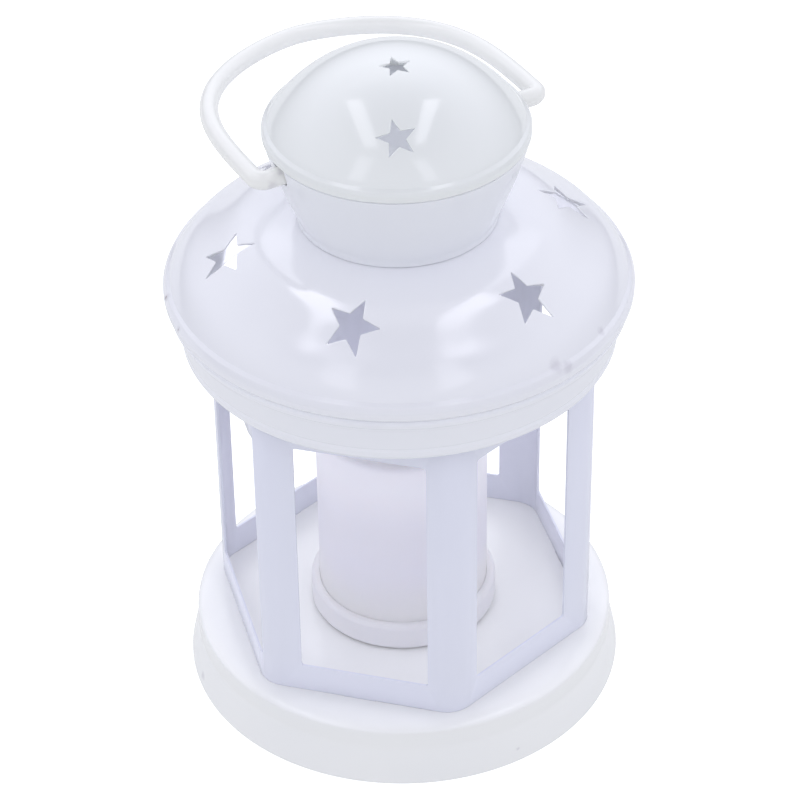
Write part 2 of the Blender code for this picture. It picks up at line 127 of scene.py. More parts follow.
# ---------------------------------------------------------------- meshes
class Solid:
    """Collects vertices (in mm) and faces of one closed piece."""

    def __init__(self):
        self.v, self.f, self.n = [], [], 0

    def add(self, verts, faces):
        self.v.extend(tuple(float(c) for c in p) for p in verts)
        self.f.extend(tuple(i + self.n for i in q) for q in faces)
        self.n = len(self.v)

    def turn(self, prof, closed=True, n=SEG):
        """A section at +X, running down its outer side, turned about Z."""
        ids, verts = [], []
        th = [2 * math.pi * j / n for j in range(n)]
        for r, z in prof:
            if r < 1e-6:
                ids.append([len(verts)] * n)
                verts.append((0.0, 0.0, z))
            else:
                ids.append(list(range(len(verts), len(verts) + n)))
                verts.extend((r * math.cos(t), r * math.sin(t), z) for t in th)
        faces = []
        m = len(prof)
        for i in range(m if closed else m - 1):
            a, b = ids[i], ids[(i + 1) % m]
            for j in range(n):
                k = (j + 1) % n
                q = [a[j], b[j], b[k], a[k]]
                q = [x for t, x in enumerate(q) if x not in q[:t]]
                if len(q) > 2:
                    faces.append(tuple(q))
        self.add(verts, faces)

    def object(self, name, weld=True):
        me = bpy.data.meshes.new(name)
        me.from_pydata([(x * MM, y * MM, z * MM) for x, y, z in self.v], [], self.f)
        if weld:
            bm = bmesh.new()
            bm.from_mesh(me)
            bmesh.ops.remove_doubles(bm, verts=bm.verts, dist=0.0000012)
            bm.to_mesh(me)
            bm.free()
        me.update()
        ob = bpy.data.objects.new(name, me)
        scene.collection.objects.link(ob)
        return ob


def as_mesh(ob):
    """Applies the modifiers of ob."""
    dg = bpy.context.evaluated_depsgraph_get()
    me = bpy.data.meshes.new_from_object(ob.evaluated_get(dg), preserve_all_data_layers=True, depsgraph=dg)
    ob.modifiers.clear()
    old = ob.data
    ob.data = me
    me.name = ob.name
    if old.users == 0:
        bpy.data.meshes.remove(old)
    return ob


def boolean(ob, other, op="DIFFERENCE"):
    b = ob.modifiers.new("cut", "BOOLEAN")
    b.operation = op
    b.solver = "EXACT"
    b.object = other
    bpy.context.view_layer.update()
    as_mesh(ob)
    bpy.data.objects.remove(other, do_unlink=True)
    return ob


def soften(ob, width, angle=35, segments=2):
    b = ob.modifiers.new("edges", "BEVEL")
    b.width = width * MM
    b.segments = segments
    b.limit_method = "ANGLE"
    b.angle_limit = math.radians(angle)
    bpy.context.view_layer.update()
    return as_mesh(ob)


def boxes(name, specs):
    """Boxes turned about Z: centre x, y, z, size x, y, z, turn in degrees."""
    bm = bmesh.new()
    for x, y, z, sx, sy, sz, turn in specs:
        place = Matrix.Translation((x * MM, y * MM, z * MM)) @ Matrix.Rotation(math.radians(turn), 4, "Z")
        bmesh.ops.create_cube(bm, size=1.0, matrix=place @ Matrix.Diagonal((sx * MM, sy * MM, sz * MM, 1)))
    me = bpy.data.meshes.new(name)
    bm.to_mesh(me)
    bm.free()
    ob = bpy.data.objects.new(name, me)
    scene.collection.objects.link(ob)
    return ob


def prism(name, loop, half, place):
    """A closed outline, extruded by half each way along its local Z, in mm, then placed."""
    n = len(loop)
    s = Solid()
    s.add([(x, y, -half) for x, y in loop] + [(x, y, half) for x, y in loop],
          [tuple(range(n))[::-1], tuple(range(n, 2 * n))] + [(k, (k + 1) % n, n + (k + 1) % n, n + k) for k in range(n)])
    ob = s.object(name, weld=False)
    ob.data.transform(place)
    return ob


def joined(name, obs):
    bm = bmesh.new()
    for o in obs:
        bm.from_mesh(o.data)
        bpy.data.objects.remove(o, do_unlink=True)
    me = bpy.data.meshes.new(name)
    bm.to_mesh(me)
    bm.free()
    ob = bpy.data.objects.new(name, me)
    scene.collection.objects.link(ob)
    return ob


def shaded(ob, degrees=35, normal=None):
    """Smooth shading with sharp folds. normal(x, y, z) in mm gives the true normal of a pressed surface, or None."""
    me = ob.data
    me.shade_smooth()
    me.set_sharp_from_angle(angle=math.radians(degrees))
    if normal is not None:
        co = np.zeros(len(me.vertices) * 3)
        me.vertices.foreach_get("co", co)
        nn = normal(co.reshape(-1, 3) / MM)
        me.normals_split_custom_set_from_vertices([tuple(v) for v in nn])
    return ob


def swept(path, radii, x_dir, y_dir, origin, sides=20):
    """A round rod along points of a plane: path is (x, y) in that plane, ends closed with a flat face. In mm."""
    X, Y = np.array(x_dir, float), np.array(y_dir, float)
    Z = np.cross(X, Y)
    P = np.array(path, float)
    T = np.gradient(P, axis=0)
    seg = np.linalg.norm(np.diff(P, axis=0), axis=1)
    for i in range(1, len(P) - 1):
        a, b = (P[i] - P[i - 1]) / seg[i - 1], (P[i + 1] - P[i]) / seg[i]
        T[i] = a + b
    T /= np.linalg.norm(T, axis=1)[:, None]
    verts, faces = [], []
    for p, t, r in zip(P, T, radii):
        side = np.array([t[1], -t[0]])
        for k in range(sides):
            a = 2 * math.pi * k / sides
            q = p + side * (r * math.cos(a))
            verts.append(np.array(origin) + X * q[0] + Y * q[1] + Z * (r * math.sin(a)))
    for i in range(len(P) - 1):
        for k in range(sides):
            l = (k + 1) % sides
            faces.append((i * sides + k, (i + 1) * sides + k, (i + 1) * sides + l, i * sides + l))
    faces.append(tuple(range(sides)))
    faces.append(tuple((len(P) - 1) * sides + k for k in range(sides))[::-1])
    s = Solid()
    s.add(verts, faces)
    return s


def facing_out(ob):
    bm = bmesh.new()
    bm.from_mesh(ob.data)
    bmesh.ops.recalc_face_normals(bm, faces=bm.faces)
    bm.to_mesh(ob.data)
    bm.free()
    return ob


# ---------------------------------------------------------------- punched stars
def star(radius, notch, turn, tip=0.08, hollow=0.34):
    """Outline of a five-pointed hole, its corners slightly eased, at most 0.36 mm between points."""
    raw = []
    for k in range(10):
        a = math.radians(turn + 36 * k)
        r, e = (radius, tip) if k % 2 == 0 else (notch, hollow)
        raw.append((r * math.cos(a), r * math.sin(a), e))
    pts = filleted(raw, closed=True, steps=4)
    out = []
    for i, p in enumerate(pts):
        q = pts[(i + 1) % len(pts)]
        long_edge = i % 5 == 4                      # every fillet gives five points; the edge follows
        m = 8 if long_edge else 1
        for k in range(m):
            out.append((p[0] + (q[0] - p[0]) * k / m, p[1] + (q[1] - p[1]) * k / m))
    return np.array(out)


def grown(loop, d):
    """The loop moved outwards by d."""
    a = loop - np.roll(loop, 1, axis=0)
    b = np.roll(loop, -1, axis=0) - loop
    na = np.stack([a[:, 1], -a[:, 0]], 1) / np.linalg.norm(a, axis=1)[:, None]
    nb = np.stack([b[:, 1], -b[:, 0]], 1) / np.linalg.norm(b, axis=1)[:, None]
    n = na + nb
    n /= np.linalg.norm(n, axis=1)[:, None]
    return loop + n * (d / np.maximum((n * na).sum(1), 0.6))[:, None]


def inside(P, loop):
    """Which of the points P lie inside the loop."""
    x, y = P[:, 0][:, None], P[:, 1][:, None]
    x0, y0 = loop[:, 0][None], loop[:, 1][None]
    x1, y1 = np.roll(loop[:, 0], -1)[None], np.roll(loop[:, 1], -1)[None]
    c = (y0 > y) != (y1 > y)
    with np.errstate(divide="ignore", invalid="ignore"):
        xx = x0 + (y - y0) / (y1 - y0) * (x1 - x0)
    return (np.where(c, x < xx, False).sum(1) % 2) == 1


def far_from(P, loop, d):
    a, b = loop, np.roll(loop, -1, axis=0)
    ab = b - a
    t = np.clip(((P[:, None] - a[None]) * ab[None]).sum(2) / (ab ** 2).sum(1)[None], 0, 1)
    q = a[None] + t[..., None] * ab[None]
    return np.linalg.norm(P[:, None] - q, axis=2).min(1) > d


def plan(r0, r1, nests, step):
    """Triangles in plan between the circles r0 and r1, or inside r1. nests: for each hole its loops, hole edge last.
    Gives the points, the triangles (anticlockwise) and for each point the nest and loop it is on."""
    pts, edges, tag = [], [], []

    def loop(P, t):
        i0, n = len(pts), len(P)
        pts.extend(tuple(p) for p in P)
        edges.extend((i0 + k, i0 + (k + 1) % n) for k in range(n))
        tag.extend([t] * n)

    th = 2 * np.pi * np.arange(SEG) / SEG
    ring = np.stack([np.cos(th), np.sin(th)], 1)
    loop(ring * r1, "outer")
    if r0:
        loop(ring * r0, "inner")
    for h, nest in enumerate(nests):
        for k, lp in enumerate(nest):
            loop(lp, (h, k))
    m = max(2, int(round((r1 - (r0 or 0)) / step)))
    grid = []
    for i in range(1, m):
        r = (r0 or 0) + (r1 - (r0 or 0)) * i / m
        n = SEG if r0 else (SEG if r > 0.9 * r1 else max(8, int(2 * math.pi * r / step)))
        t = 2 * np.pi * (np.arange(n) + 0.5 * (i % 2)) / n
        grid.append(np.stack([r * np.cos(t), r * np.sin(t)], 1))
    if not r0:
        grid.append(np.array([[0.0, 0.0]]))
    G = np.concatenate(grid)
    for nest in nests:
        big = nest[0]
        c = big.mean(0)
        near = np.linalg.norm(G - c, axis=1) < np.linalg.norm(big - c, axis=1).max() + 1.0
        ok = np.ones(len(G), bool)
        ok[near] = far_from(G[near], big, 0.4 * step) & ~inside(G[near], big)
        G = G[ok]
    pts.extend(tuple(p) for p in G)
    tag.extend([None] * len(G))
    v, _, f, orig, _, _ = delaunay_2d_cdt([Vector(p) for p in pts], edges, [], 0, 1e-6)
    V = np.array([p[:] for p in v])
    tags = [tag[o[0]] if o else None for o in orig]
    F = np.array([tuple(q) for q in f])
    C = V[F].mean(1)
    keep = np.ones(len(F), bool)
    for nest in nests:
        keep &= ~inside(C, nest[-1])
    if r0:
        inner = np.array([t == "inner" for t in tags])
        keep &= ~inner[F].all(1)
    F = F[keep]
    A, B, D = V[F[:, 0]], V[F[:, 1]], V[F[:, 2]]
    cr = (B[:, 0] - A[:, 0]) * (D[:, 1] - A[:, 1]) - (B[:, 1] - A[:, 1]) * (D[:, 0] - A[:, 0])
    F[cr < 0] = F[cr < 0][:, ::-1]
    return V, F, tags


RIM = ((0.20, 0.0), (0.10, 0.018), (0.03, 0.07), (0.0, 0.15))      # offset and depth of the drawn-in edge of a hole
LIP = 0.30                                                          # depth to which the edge of a hole stands square


def pressed(solid, f_out, f_in, r0, r1, holes, step):
    """A pressed sheet with punched holes: outer and inner surface and the walls of the holes.
    holes: (place, outer star, inner star); place maps the star's own (u, v) to plan positions on a surface f."""
    nests = [[place(grown(out, d), f_out) for d, _ in RIM] for place, out, _ in holes]
    V, F, tags = plan(r0, r1, nests, step)
    r = np.hypot(V[:, 0], V[:, 1])
    z = f_out(r)
    drop = np.array([RIM[t[1]][1] if isinstance(t, tuple) else 0.0 for t in tags])
    N = slope_normal(V, f_out)
    P = np.concatenate([V, z[:, None]], 1) - N * drop[:, None]
    solid.add(P, F)
    nests = [[place(inn, f_in)] for place, _, inn in holes]
    V, F, tags = plan(r0, r1, nests, step * 1.5)
    z = f_in(np.hypot(V[:, 0], V[:, 1]))
    solid.add(np.concatenate([V, z[:, None]], 1), F[:, ::-1])
    for place, out, inn in holes:
        edge = place(out, f_out)
        N = slope_normal(edge, f_out)
        top = np.concatenate([edge, f_out(np.hypot(edge[:, 0], edge[:, 1]))[:, None]], 1)
        low = place(inn, f_in)
        low = np.concatenate([low, f_in(np.hypot(low[:, 0], low[:, 1]))[:, None]], 1)
        rows = [top - N * RIM[-1][1], top - N * LIP, low]
        n = len(edge)
        faces = []
        for i in range(2):
            for k in range(n):
                l = (k + 1) % n
                faces.append((i * n + k, i * n + l, (i + 1) * n + l, (i + 1) * n + k))
        solid.add(np.concatenate(rows), faces)


def slope_normal(V, f):
    r = np.maximum(np.hypot(V[:, 0], V[:, 1]), 1e-9)
    s = (f(r + 0.02) - f(np.maximum(r - 0.02, 0))) / np.where(r < 0.02, r + 0.02, 0.04)
    n = np.stack([-s * V[:, 0] / r, -s * V[:, 1] / r, np.ones_like(r)], 1)
    return n / np.linalg.norm(n, axis=1)[:, None]


def square_to(r, phi, slope, f0):
    """Places a star cut square to the surface: its own x runs along the rim and its y up the slope."""
    a, s = math.radians(phi), math.radians(slope)
    t = np.array([math.cos(a), math.sin(a), 0.0])
    up = -np.array([math.sin(a) * math.cos(s), -math.cos(a) * math.cos(s), -math.sin(s)])
    n = np.cross(t, up)
    c = np.array([*polar(r, phi), f0(np.array([r]))[0]])

    def place(P, f):
        w = np.zeros(len(P))
        for _ in range(12):
            Q = c + P[:, :1] * t + P[:, 1:2] * up + w[:, None] * n
            w -= (Q[:, 2] - f(np.hypot(Q[:, 0], Q[:, 1]))) / (n[2] + 0.8 * math.sin(s))
        Q = c + P[:, :1] * t + P[:, 1:2] * up + w[:, None] * n
        return Q[:, :2]
    return place


# ---------------------------------------------------------------- finishes
def node(nt, kind, **values):
    n = nt.nodes.new(kind)
    for k, v in values.items():
        if k.startswith("i_"):
            key = k[2:]
            key = int(key) if key.isdigit() else key.replace("_", " ")
            n.inputs[key].default_value = v
        else:
            setattr(n, k, v)
    return n


def begin(name, **sockets):
    m = bpy.data.materials.new(name)
    m.use_nodes = True
    b = m.node_tree.nodes["Principled BSDF"]
    for k, v in sockets.items():
        b.inputs[k.replace("_", " ")].default_value = v
    return m, m.node_tree, b


def noise(nt, co, scale, detail=2.0, rough=0.5):
    n = node(nt, "ShaderNodeTexNoise", i_Scale=scale, i_Detail=detail, i_Roughness=rough)
    nt.links.new(co, n.inputs["Vector"])
    return n.outputs["Fac"]


def ranged(nt, src, a, b, c, d, smooth=False):
    n = node(nt, "ShaderNodeMapRange", i_1=a, i_2=b, i_3=c, i_4=d)
    if smooth:
        n.interpolation_type = "SMOOTHSTEP"
    nt.links.new(src, n.inputs[0])
    return n.outputs[0]


def calc(nt, op, a, b=None):
    n = node(nt, "ShaderNodeMath", operation=op)
    for i, x in enumerate((a, b)):
        if x is None:
            continue
        if isinstance(x, (int, float)):
            n.inputs[i].default_value = x
        else:
            nt.links.new(x, n.inputs[i])
    return n.outputs[0]


def blended(nt, fac, a, b):
    """A mix of two colours, each a colour or a socket."""
    n = nt.nodes.new("ShaderNodeMix")
    n.data_type = "RGBA"
    nt.links.new(fac, n.inputs[0])
    for i, x in ((6, a), (7, b)):
        if isinstance(x, tuple):
            n.inputs[i].default_value = (*x, 1.0)
        else:
            nt.links.new(x, n.inputs[i])
    return n.outputs[2]


def bumped(nt, b, height, strength=1.0):
    """Height in metres."""
    n = node(nt, "ShaderNodeBump", i_Strength=strength, i_Distance=1.0)
    nt.links.new(height, n.inputs["Height"])
    nt.links.new(n.outputs["Normal"], b.inputs["Normal"])
    return n


def enamel(name, light, dark, chips=(), stains=(), rough=(0.17, 0.25), peel=3e-6, wave=4e-5, shift=0.0):
    """White enamel on pressed sheet: faint cloudiness, orange peel, slow waves of the sheet, chips and stains.
    chips and stains: (x, y, z, radius) in mm."""
    m, nt, b = begin(name, IOR=1.5)
    tc = nt.nodes.new("ShaderNodeTexCoord")
    co = tc.outputs["Object"]
    if shift:
        mp = node(nt, "ShaderNodeMapping")
        mp.inputs["Location"].default_value = (shift, shift * 0.7, -shift)
        nt.links.new(co, mp.inputs["Vector"])
        place = mp.outputs["Vector"]
    else:
        place = co
    cloud = ranged(nt, noise(nt, place, 45.0, 3.0), 0.3, 0.7, 0.0, 1.0)
    col = blended(nt, cloud, dark, light)
    fine = noise(nt, place, 420.0, 2.0)
    rgh = ranged(nt, noise(nt, place, 160.0, 3.0), 0.3, 0.7, rough[0], rough[1])
    h = calc(nt, "ADD", calc(nt, "MULTIPLY", noise(nt, place, 70.0, 1.0), wave), calc(nt, "MULTIPLY", fine, peel))
    if stains or chips:
        wob = node(nt, "ShaderNodeTexNoise", i_Scale=900.0, i_Detail=2.0)
        nt.links.new(co, wob.inputs["Vector"])
        sub = node(nt, "ShaderNodeVectorMath", operation="SUBTRACT")
        nt.links.new(wob.outputs["Color"], sub.inputs[0])
        sub.inputs[1].default_value = (0.5, 0.5, 0.5)
        sc = node(nt, "ShaderNodeVectorMath", operation="SCALE")
        nt.links.new(sub.outputs[0], sc.inputs[0])
        sc.inputs["Scale"].default_value = 0.0012
        ad = node(nt, "ShaderNodeVectorMath", operation="ADD")
        nt.links.new(co, ad.inputs[0])
        nt.links.new(sc.outputs[0], ad.inputs[1])
        torn = ad.outputs[0]

        def spots(list_, src, inner, outer):
            mask = None
            for x, y, z, r in list_:
                d = node(nt, "ShaderNodeVectorMath", operation="DISTANCE")
                nt.links.new(src, d.inputs[0])
                d.inputs[1].default_value = (x * MM, y * MM, z * MM)
                s = ranged(nt, d.outputs["Value"], r * inner * MM, r * outer * MM, 1.0, 0.0, smooth=True)
                mask = s if mask is None else calc(nt, "MAXIMUM", mask, s)
            return mask
        if stains:
            ms = spots(stains, torn, 0.2, 1.3)
            col = blended(nt, calc(nt, "MULTIPLY", ms, 0.28), col, (0.42, 0.38, 0.46))
        if chips:
            mc = spots(chips, torn, 0.8, 1.05)
            col = blended(nt, mc, col, (0.36, 0.31, 0.33))
            rgh = calc(nt, "ADD", rgh, calc(nt, "MULTIPLY", mc, 0.25))
            h = calc(nt, "SUBTRACT", h, calc(nt, "MULTIPLY", mc, 0.00006))
    nt.links.new(col, b.inputs["Base Color"])
    nt.links.new(rgh, b.inputs["Roughness"])
    bumped(nt, b, h)
    return m


def moulded(name, light, dark, rough=(0.38, 0.5), scale=500.0, height=4e-6, **sockets):
    """Plain moulded or drawn material with a faint unevenness."""
    m, nt, b = begin(name, **sockets)
    co = nt.nodes.new("ShaderNodeTexCoord").outputs["Object"]
    nt.links.new(blended(nt, ranged(nt, noise(nt, co, 60.0, 3.0), 0.3, 0.7, 0.0, 1.0), dark, light), b.inputs["Base Color"])
    nt.links.new(ranged(nt, noise(nt, co, 220.0, 2.0), 0.3, 0.7, rough[0], rough[1]), b.inputs["Roughness"])
    bumped(nt, b, calc(nt, "MULTIPLY", noise(nt, co, scale, 2.0), height))
    return m


PAINT = (0.895, 0.900, 0.935)
PAINT_D = (0.875, 0.882, 0.925)
# the base's enamel is lighter than the other white pieces: painted light on the floor inside the lantern; its stains
# are real marks
base_lightened_mat = enamel("base_enamel_lightened", (0.922, 0.922, 0.912), (0.904, 0.906, 0.902), stains=((30.6, -29.7, 2.9, 0.5), (-35.4, -23.8, 2.7, 1.0)))
# the frame's enamel is darker and bluer than the other white pieces: painted shade under the roof
frame_shaded_mat = enamel("frame_enamel_shaded", (0.815, 0.826, 0.922), (0.800, 0.812, 0.912), shift=0.13)
roof_mat = enamel("roof_enamel", (0.885, 0.888, 0.922), (0.868, 0.872, 0.912), rough=(0.10, 0.16), wave=2e-5,
                  chips=((-39.6, -18.6, 90.7, 0.45), (-34.4, -27.3, 90.2, 0.3)),
                  stains=((-39.4, -18.9, 90.9, 1.1), (-34.4, -27.3, 90.3, 0.8), (35.2, -24.0, 91.9, 1.5), (37.2, -22.6, 91.0, 1.3), (40.9, -11.8, 92.0, 0.9)), shift=0.31)
skirt_mat = enamel("skirt_enamel", PAINT, PAINT_D, shift=0.47)
cap_mat = enamel("cap_enamel", (0.868, 0.886, 0.872), (0.852, 0.870, 0.862), rough=(0.09, 0.14), wave=2e-5, shift=0.59)
cup_mat = enamel("cup_enamel", (0.876, 0.888, 0.918), (0.858, 0.870, 0.908), shift=0.71)
# the handle's enamel is lighter than the other white pieces: painted light on the handle; its stains are real marks
bail_lightened_mat = enamel("bail_enamel_lightened", (0.935, 0.935, 0.902), (0.920, 0.920, 0.890), stains=((-17.7, -19.6, 119.1, 1.1), (-16.6, -17.5, 120.9, 0.9)), wave=1e-5, shift=0.83)

# ---------------------------------------------------------------- base pan
top = [(r, 12.65 - 1.1 * (1 - math.sqrt(max(0.0, 1 - ((r - 38.6) / 2.82) ** 2)))) for r in
       [38.6, 38.9, 39.2, 39.5, 39.8, 40.1, 40.35, 40.6, 40.8, 41.0, 41.13, 41.24, 41.32, 41.38, 41.42]]
wall = spline([(41.42, 11.55), (41.43, 10.2), (41.44, 8.8), (41.47, 7.7), (41.74, 6.6), (42.27, 4.6), (42.78, 2.2), (43.02, 1.05),
               (43.1, 0.52), (43.0, 0.14), (42.72, 0.0), (42.3, 0.0), (41.85, 0.12), (41.66, 0.45)], 4)
under = [(41.62, 1.2), (41.6, 2.4), (41.2, 5.0), (40.62, 7.6), (40.57, 11.2, 0.6), (40.2, 11.85), (15.0, 11.85), (14.8, 12.05),
         (14.8, 12.45)]
s = Solid()
wall = [(r, max(0.0, z)) for r, z in wall]
s.turn([(15.0, 12.65), (22.0, 12.65), (30.0, 12.65), (36.0, 12.65)] + top + wall + filleted(under))
base_pan = s.object("base_pan_pressing")
APOTHEM = 38.6 * math.cos(math.radians(30))
TAB_AT = APOTHEM - 0.4
boolean(base_pan, boxes("slots", [(*polar(APOTHEM - 0.225, p), 12.25, 6.2, 0.52, 4.0, p) for p in (0, 120, 240)]))
shaded(base_pan)
base_pan.data.materials.append(base_lightened_mat)
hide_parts("base_pan")
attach(base_pan, "base")

# ---------------------------------------------------------------- folded frame
def hexagon(r, fold, steps=8):
    return filleted([(*polar(r, 30 + 60 * k), fold) for k in range(6)], closed=True, steps=steps)


outer = hexagon(38.6, 5.95, 14)
inner = hexagon((APOTHEM - 0.45) / math.cos(math.radians(30)), 5.5, 14)
n = len(outer)
z0, z1 = 12.72, 79.0
ver = [(x, y, z0) for x, y in outer] + [(x, y, z1) for x, y in outer] + [(x, y, z0) for x, y in inner] + [(x, y, z1) for x, y in inner]
fac = []
for k in range(n):
    l = (k + 1) % n
    fac += [(k, l, n + l, n + k), (2 * n + l, 2 * n + k, 3 * n + k, 3 * n + l), (n + k, n + l, 3 * n + l, 3 * n + k), (l, k, 2 * n + k, 2 * n + l)]
s = Solid()
s.add(ver, fac)
hex_frame = facing_out(s.object("hex_frame_fold"))
# the folds fall unevenly between the punched windows
WINDOWS = ((-11.6, 13.6), (-13.8, 11.0), (-15.8, 15.9), (-11.95, 12.5), (-12.5, 15.0), (-14.3, 17.8))
cut = []
for k, (u0, u1) in enumerate(WINDOWS):
    window = filleted([(u0, -26.45, 0.6), (u1, -26.45, 0.6), (u1, 26.45, 0.6), (u0, 26.45, 0.6)], closed=True, steps=5)
    a = math.radians(60 * k)
    m = Matrix(((math.cos(a), 0, math.sin(a)), (math.sin(a), 0, -math.cos(a)), (0, 1, 0))).to_4x4()
    m.translation = Vector((*polar(APOTHEM + 0.4, 60 * k), 45.25)) * MM
    cut.append(prism(f"window_{k}", window, 2.2, m))
boolean(hex_frame, facing_out(joined("windows", cut)))
tabs = [(*polar(APOTHEM - 0.225, p), 12.25, 6.0, 0.43, 3.4, p) for p in (0, 120, 240)]
tabs += [(*polar(APOTHEM - 0.225, p), z1 + 0.4, 8.0, 0.43, 3.4, p) for p in (60, 180, 300)]
boolean(hex_frame, boxes("tabs", tabs), "UNION")
soften(hex_frame, 0.09, 40, 2)
shaded(hex_frame, 30)
hex_frame.data.materials.append(frame_shaded_mat)
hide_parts("hex_frame")
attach(hex_frame, "upper")

# ---------------------------------------------------------------- roof skirt
skirt = filleted([(42.3, 88.0, 0.25), (42.98, 88.02, 0.5), (43.4, 87.35, 0.45), (43.15, 86.35, 0.5), (42.55, 85.9, 0.5), (42.28, 85.1, 1.2),
                  (41.28, 80.55, 0.4), (41.12, 80.25, 0.2), (41.2, 79.6, 0.5), (41.05, 78.55, 0.5), (40.65, 77.85, 0.3), (40.15, 77.85, 0.15),
                  (40.1, 79.0, 0.3), (40.35, 80.5, 0.5), (41.5, 85.5, 0.8), (41.9, 86.9, 0.5)], closed=True, steps=5)
s = Solid()
s.turn(skirt)
roof_skirt = s.object("roof_skirt_band")
lugs, slots = [], []
for p in (60, 180, 300):
    lugs.append((*polar((30.2 + 40.35) / 2, p), 79.7, 13.0, 40.35 - 30.2, 0.8, p))
    slots.append((*polar(TAB_AT, p), 79.7, 8.8, 1.5, 4.0, p))
boolean(roof_skirt, boxes("lugs", lugs), "UNION")
boolean(roof_skirt, boxes("slots", slots))
shaded(roof_skirt)
roof_skirt.data.materials.append(skirt_mat)
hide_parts("roof_skirt")
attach(roof_skirt, "upper")

# ---------------------------------------------------------------- roof
roof_out = eased([(17.7, 104.1), (21.5, 103.85), (26.0, 103.15), (28.0, 102.7), (30.0, 101.9), (32.0, 100.65), (36.0, 98.0), (38.0, 96.75),
                  (40.0, 95.35), (41.4, 93.7), (42.4, 92.3), (42.7, 91.8)], 0.9)
roof_in = eased([(17.7, 103.3), (21.4, 103.05), (25.8, 102.4), (27.7, 101.85), (29.6, 101.05), (31.6, 99.8), (35.5, 97.3), (37.5, 96.0),
                 (39.3, 94.6), (40.8, 92.9), (41.8, 91.3)], 0.7)
R0, R1 = 25.6, 38.8
STAR_R, STAR_TURN = 5.18, -4.6
holes = []
for k in range(6):
    holes.append((square_to(32.3, 60 * k, 0.0, roof_out), star(STAR_R, 0.42 * STAR_R, -STAR_TURN), star(STAR_R + 1.2, 0.42 * STAR_R + 1.0, -STAR_TURN)))
s = Solid()
pressed(s, roof_out, roof_in, R0, R1, holes, 0.8)
rim = [(r, float(roof_out(r))) for r in np.linspace(R1, 42.25, 9)]
rim += filleted([rim[-1], (42.66, 91.78, 0.22), (43.42, 91.28, 0.55), (44.0, 90.1, 0.9), (43.98, 88.9, 0.6), (43.55, 88.35, 0.4), (42.25, 88.35, 0.3),
                 (42.3, 89.6, 0.6), (41.8, 91.3)], steps=7)[1:]
rim += [(r, float(roof_in(r))) for r in (41.2, 40.6, 40.0, 39.4, R1)]
s.turn(rim, closed=False)
hub = [(r, float(roof_in(r))) for r in np.linspace(R0, 18.0, 6)] + [(17.75, 103.35), (17.7, 103.5), (17.7, 104.0), (17.8, 104.1)]
hub += [(r, float(roof_out(r))) for r in np.linspace(18.2, R0, 8)]
s.turn(hub, closed=False)
roof_shell = s.object("roof_shell_pressing")


def roof_normal(P):
    r = np.hypot(P[:, 0], P[:, 1])
    on = (np.abs(P[:, 2] - roof_out(r)) < 0.002) & (r > 18.5) & (r < 42.0)
    return np.where(on[:, None], slope_normal(P[:, :2], roof_out), 0.0)


shaded(roof_shell, 38, roof_normal)
roof_shell.data.materials.append(roof_mat)
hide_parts("roof_shell")
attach(roof_shell, "upper")

# ---------------------------------------------------------------- chimney cup
PIVOT_Z = 119.5
BAIL_PHI = -45.8
cup_out = [(18.65 + 5.55 * (1 - (1 - t) ** 1.2), 105.2 + 16.1 * t) for t in np.linspace(1, 0, 26)]
cup_in = [(r - 0.8, z + 0.1) for r, z in cup_out[:-1]][::-1]
s = Solid()
s.turn([(23.6, 121.36), (23.8, 121.38), (24.05, 121.36)] + [(24.19, 121.25)] + cup_out[1:] +
       filleted([(18.62, 104.8), (18.72, 104.16, 0.12), (17.4, 104.16, 0.2), (17.35, 103.0, 0.2), (19.3, 102.6, 0.2), (19.3, 101.9, 0.2), (16.55, 102.1, 0.3),
                 (16.55, 104.3, 0.5), (17.8, 105.5)], steps=4) + cup_in[1:-1] + [(23.4, 121.25)])
chimney_cup = s.object("chimney_cup_pressing")
notch = [(2.05 * math.cos(math.radians(180 + 180 * k / 16)), 2.05 * math.sin(math.radians(180 + 180 * k / 16))) for k in range(17)]
notch += [(2.05, 4.0), (-2.05, 4.0)]
ax = Vector((*polar(1.0, BAIL_PHI), 0.0)).normalized()
side = Vector((0, 0, 1)).cross(ax)
m = Matrix((side, Vector((0, 0, 1)), side.cross(Vector((0, 0, 1))))).transposed().to_4x4()
m.translation = Vector((0, 0, PIVOT_Z * MM))
boolean(chimney_cup, facing_out(prism("notch", notch, 30.0, m)))
shaded(chimney_cup)
chimney_cup.data.materials.append(cup_mat)
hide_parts("chimney_cup")
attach(chimney_cup, "upper")


# ---------------------------------------------------------------- cap dome
def dome_out(r):
    r = np.minimum(np.abs(r), 24.4)
    return 122.3 + 14.0 * (1 - (r / 24.5) ** 2.3) ** 0.893


def dome_in(r):
    # the inner surface, found from the outer one by moving in by the sheet's thickness
    q = np.linspace(0, 23.4, 1200)
    return np.interp(r, q - 0.55 * (q / 23.2) ** 1.5, dome_out(q) - 0.8 + 0.18 * (q / 23.2) ** 2)


R1 = 21.6
holes = [(square_to(17.3, 15.2, 38.5, dome_out), star(3.8, 0.42 * 3.8, -40.8, 0.06, 0.28), star(4.5, 0.42 * 3.8 + 0.7, -40.8, 0.06, 0.28)),
         (square_to(17.3, 195.2, 38.5, dome_out), star(3.8, 0.42 * 3.8, -40.8, 0.06, 0.28), star(4.5, 0.42 * 3.8 + 0.7, -40.8, 0.06, 0.28))]
top_at = np.array(polar(2.3, 15.2))
holes.append((lambda P, f: P + top_at, star(3.05, 0.42 * 3.05, 48.7, 0.05, 0.24), star(3.95, 0.42 * 3.05 + 0.8, 48.7, 0.05, 0.24)))
s = Solid()
RIM = ((0.15, 0.0), (0.08, 0.014), (0.025, 0.05), (0.0, 0.11))
LIP = 0.25
pressed(s, dome_out, dome_in, None, R1, holes, 0.7)
rim = [(r, float(dome_out(r))) for r in (R1, 22.0, 22.4, 22.8, 23.05)]
